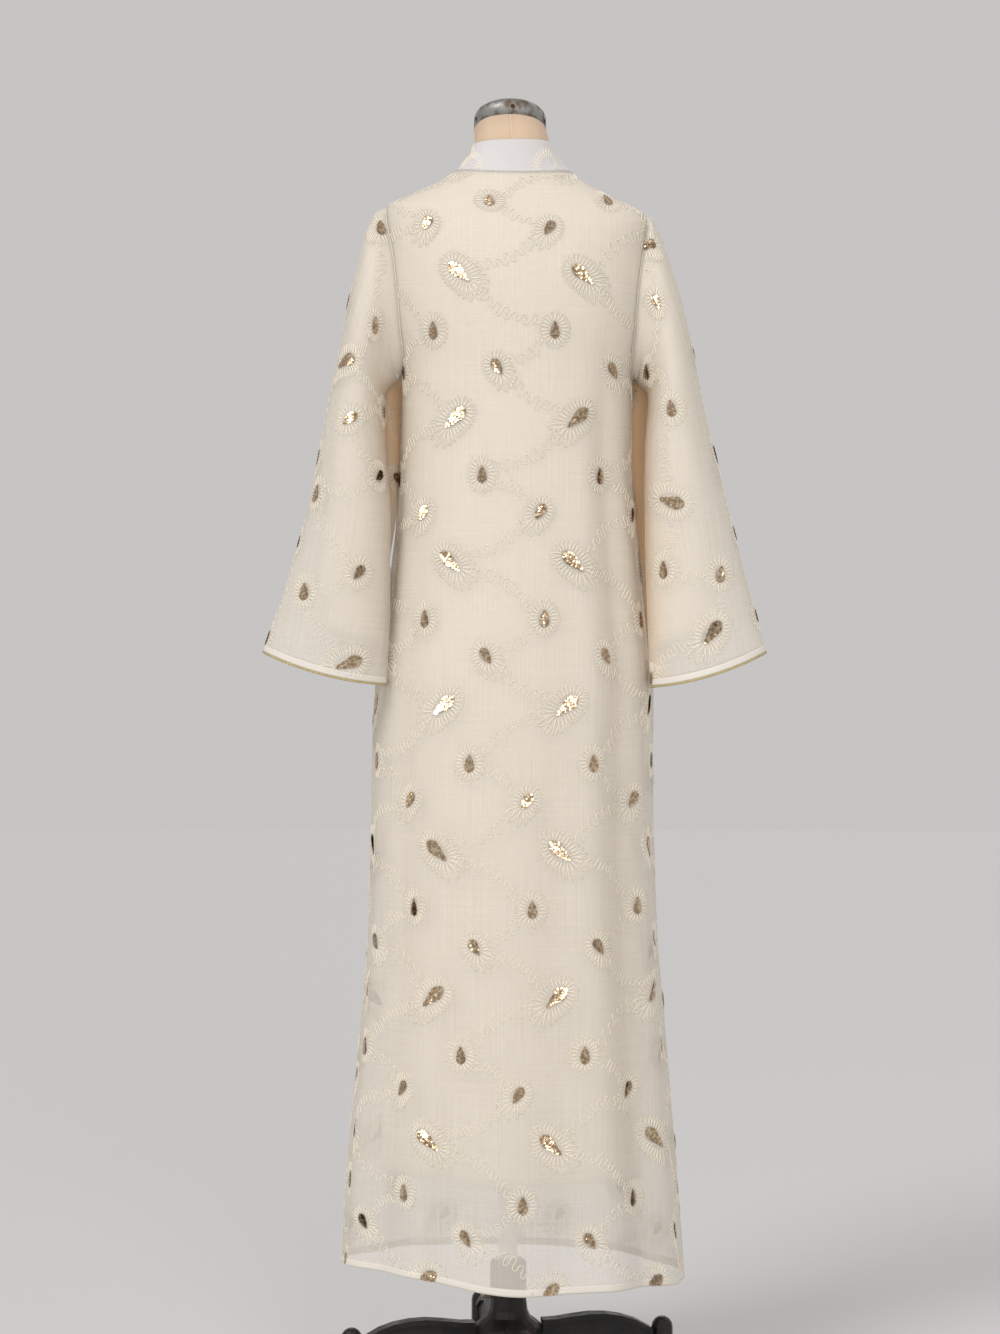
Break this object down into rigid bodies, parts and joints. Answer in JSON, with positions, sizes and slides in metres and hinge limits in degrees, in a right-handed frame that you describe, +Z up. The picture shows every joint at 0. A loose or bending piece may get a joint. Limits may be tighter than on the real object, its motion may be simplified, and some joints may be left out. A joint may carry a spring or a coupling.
{
  "type": "sequin abaya on dress form",
  "caption": "Long cream sheer abaya with sequin teardrops and looped embroidery, lined, hanging on a limbless dress form with a cast-iron foot.",
  "frame": {"origin": "on the floor, under the middle of the whole object's box", "axes": "+Z up; +X is the wearer's right, which is the picture's right; +Y is the wearer's front, so the back that the picture shows faces -Y"},
  "size_m": [0.6694, 0.4546, 1.7443],
  "materials": {
    "sheer_shell": "sheer crinkled chiffon with looped thread embroidery and sequin teardrops",
    "lining": "opaque smooth polyester lining",
    "collar_cloth": "white interlined chiffon",
    "gold_piping": "matt gold braid",
    "form_linen": "plain woven linen over a hard shell",
    "neck_cap": "dull pitted sheet metal",
    "pole_steel": "satin steel tube",
    "base_iron": "black japanned cast iron, worn on its edges",
    "clamp_metal": "dull grey paint"
  },
  "bodies": {
    "root": {"back": "sheer_shell", "front_left": "sheer_shell", "front_right": "sheer_shell", "sleeve_left": "sheer_shell", "sleeve_right": "sheer_shell", "lining_back": "lining", "lining_front_left": "lining", "lining_front_right": "lining", "sleeve_lining_left": "lining", "sleeve_lining_right": "lining", "collar": "collar_cloth", "cuff_piping_left": "gold_piping", "cuff_piping_right": "gold_piping", "form_torso": "form_linen", "form_neck_cap": "neck_cap", "form_pole": "pole_steel", "base_hub": "base_iron", "base_leg_1": "base_iron", "base_leg_2": "base_iron", "base_leg_3": "base_iron", "base_leg_4": "base_iron", "base_foot_1": "base_iron", "base_foot_2": "base_iron", "base_foot_3": "base_iron", "base_foot_4": "base_iron", "base_clamp_screw": "clamp_metal"}
  },
  "joints": []
}
